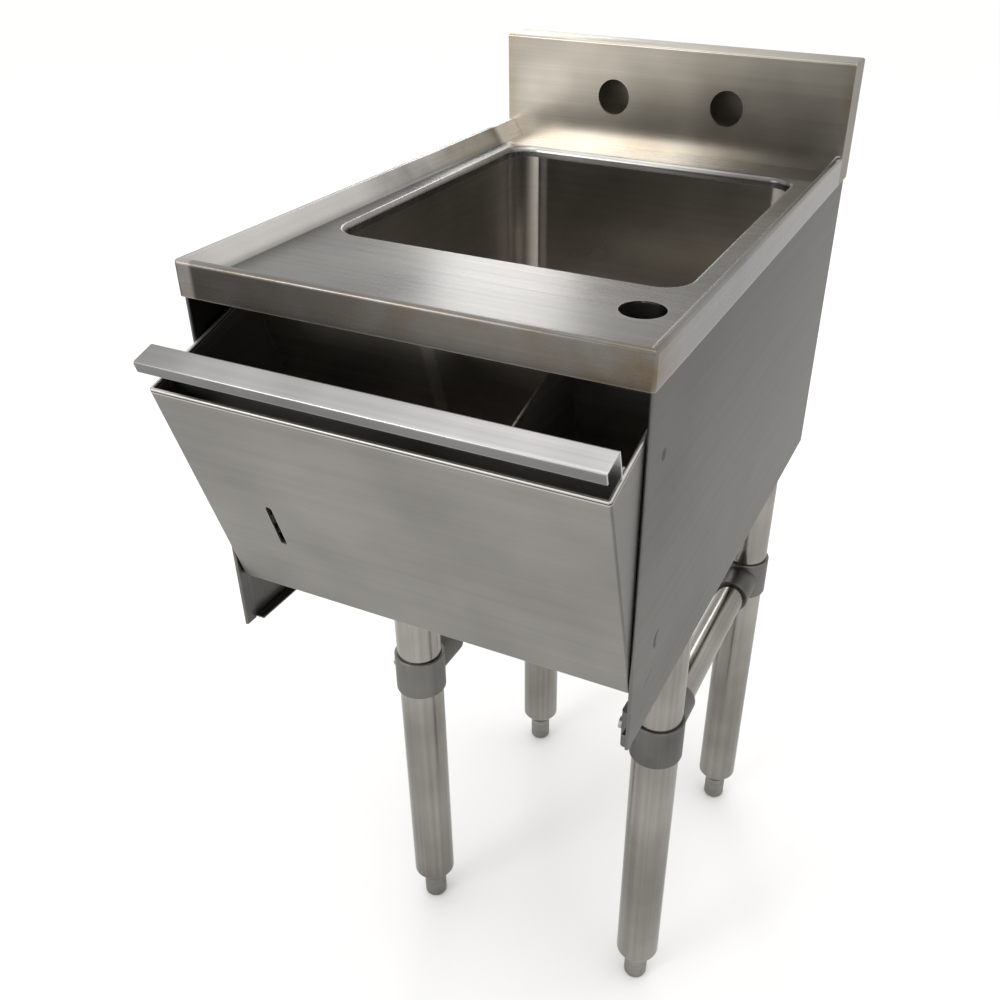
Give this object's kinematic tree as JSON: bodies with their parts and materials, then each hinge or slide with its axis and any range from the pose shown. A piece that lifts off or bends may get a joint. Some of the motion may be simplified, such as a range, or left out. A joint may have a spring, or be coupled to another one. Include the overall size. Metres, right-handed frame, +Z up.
{
  "type": "underbar hand sink",
  "caption": "Underbar hand sink: raised-rim deck with a rounded bowl, back splash, side panels, tilting front bin with a channel handle, and tubular legs on screw feet.",
  "frame": {"origin": "on the floor, in the middle of the footprint with the bin tilted open", "axes": "+X to the right as seen from the front, +Y from the front to the wall, +Z up"},
  "size_m": [0.3048, 0.5258, 0.8328],
  "materials": {
    "deck_steel": "satin brushed stainless steel, grain across the unit",
    "bowl_steel": "satin drawn stainless steel",
    "panel_steel": "brushed stainless sheet",
    "bin_steel": "brushed stainless sheet",
    "handle_steel": "brushed stainless sheet",
    "frame_steel": "mill finish stainless sheet",
    "cast_steel": "matte cast stainless steel",
    "tube_steel": "satin stainless tube",
    "foot_steel": "turned stainless steel",
    "screw_steel": "bright plated screws",
    "drain_steel": "spun stainless steel",
    "rubber": "black rubber",
    "brass": "cast brass"
  },
  "bodies": {
    "sink": {"backsplash": "deck_steel", "bowl": "bowl_steel", "collar_front_left": "cast_steel", "collar_front_right": "cast_steel", "collar_rear_left": "cast_steel", "collar_rear_right": "cast_steel", "collar_screws": "screw_steel", "drain_body": "drain_steel", "drain_gasket": "rubber", "drain_locknut": "brass", "drain_strainer": "drain_steel", "drain_tailpiece": "drain_steel", "leg_channel_front": "frame_steel", "leg_channel_rear": "frame_steel", "leg_front_left": "tube_steel", "leg_front_right": "tube_steel", "leg_plug_front_left": "foot_steel", "leg_plug_front_right": "foot_steel", "leg_plug_rear_left": "foot_steel", "leg_plug_rear_right": "foot_steel", "leg_rear_left": "tube_steel", "leg_rear_right": "tube_steel", "leg_socket_front_left": "frame_steel", "leg_socket_front_right": "frame_steel", "leg_socket_rear_left": "frame_steel", "leg_socket_rear_right": "frame_steel", "pivot_nuts": "screw_steel", "pivot_stud_left": "screw_steel", "pivot_stud_right": "screw_steel", "pivot_washers": "screw_steel", "rear_brace": "frame_steel", "side_panel_left": "panel_steel", "side_panel_right": "panel_steel", "side_rail_left": "tube_steel", "side_rail_right": "tube_steel", "sink_top": "deck_steel", "slip_nut": "brass", "slip_washer": "rubber", "socket_screws": "screw_steel", "stop_bracket_left": "frame_steel", "stop_bracket_right": "frame_steel"},
    "bin": {"bin_wrapper": "bin_steel", "bin_floor": "bin_steel", "handle_channel": "handle_steel", "bin_divider": "bin_steel"},
    "front_left_foot": {"foot_front_left": "foot_steel"},
    "front_right_foot": {"foot_front_right": "foot_steel"},
    "rear_left_foot": {"foot_rear_left": "foot_steel"},
    "rear_right_foot": {"foot_rear_right": "foot_steel"}
  },
  "joints": [
    {"name": "bin_tilt", "type": "hinge", "parent": "sink", "child": "bin", "pos_m": [0, -0.16728, 0.553], "axis": [-1, 0, 0], "range_deg": [0, 17]},
    {"name": "foot_front_left_screw", "type": "slide", "parent": "sink", "child": "front_left_foot", "axis": [0, 0, -1], "range_m": [0, 0.025]},
    {"name": "foot_front_right_screw", "type": "slide", "parent": "sink", "child": "front_right_foot", "axis": [0, 0, -1], "range_m": [0, 0.025]},
    {"name": "foot_rear_left_screw", "type": "slide", "parent": "sink", "child": "rear_left_foot", "axis": [0, 0, -1], "range_m": [0, 0.025]},
    {"name": "foot_rear_right_screw", "type": "slide", "parent": "sink", "child": "rear_right_foot", "axis": [0, 0, -1], "range_m": [0, 0.025]}
  ]
}
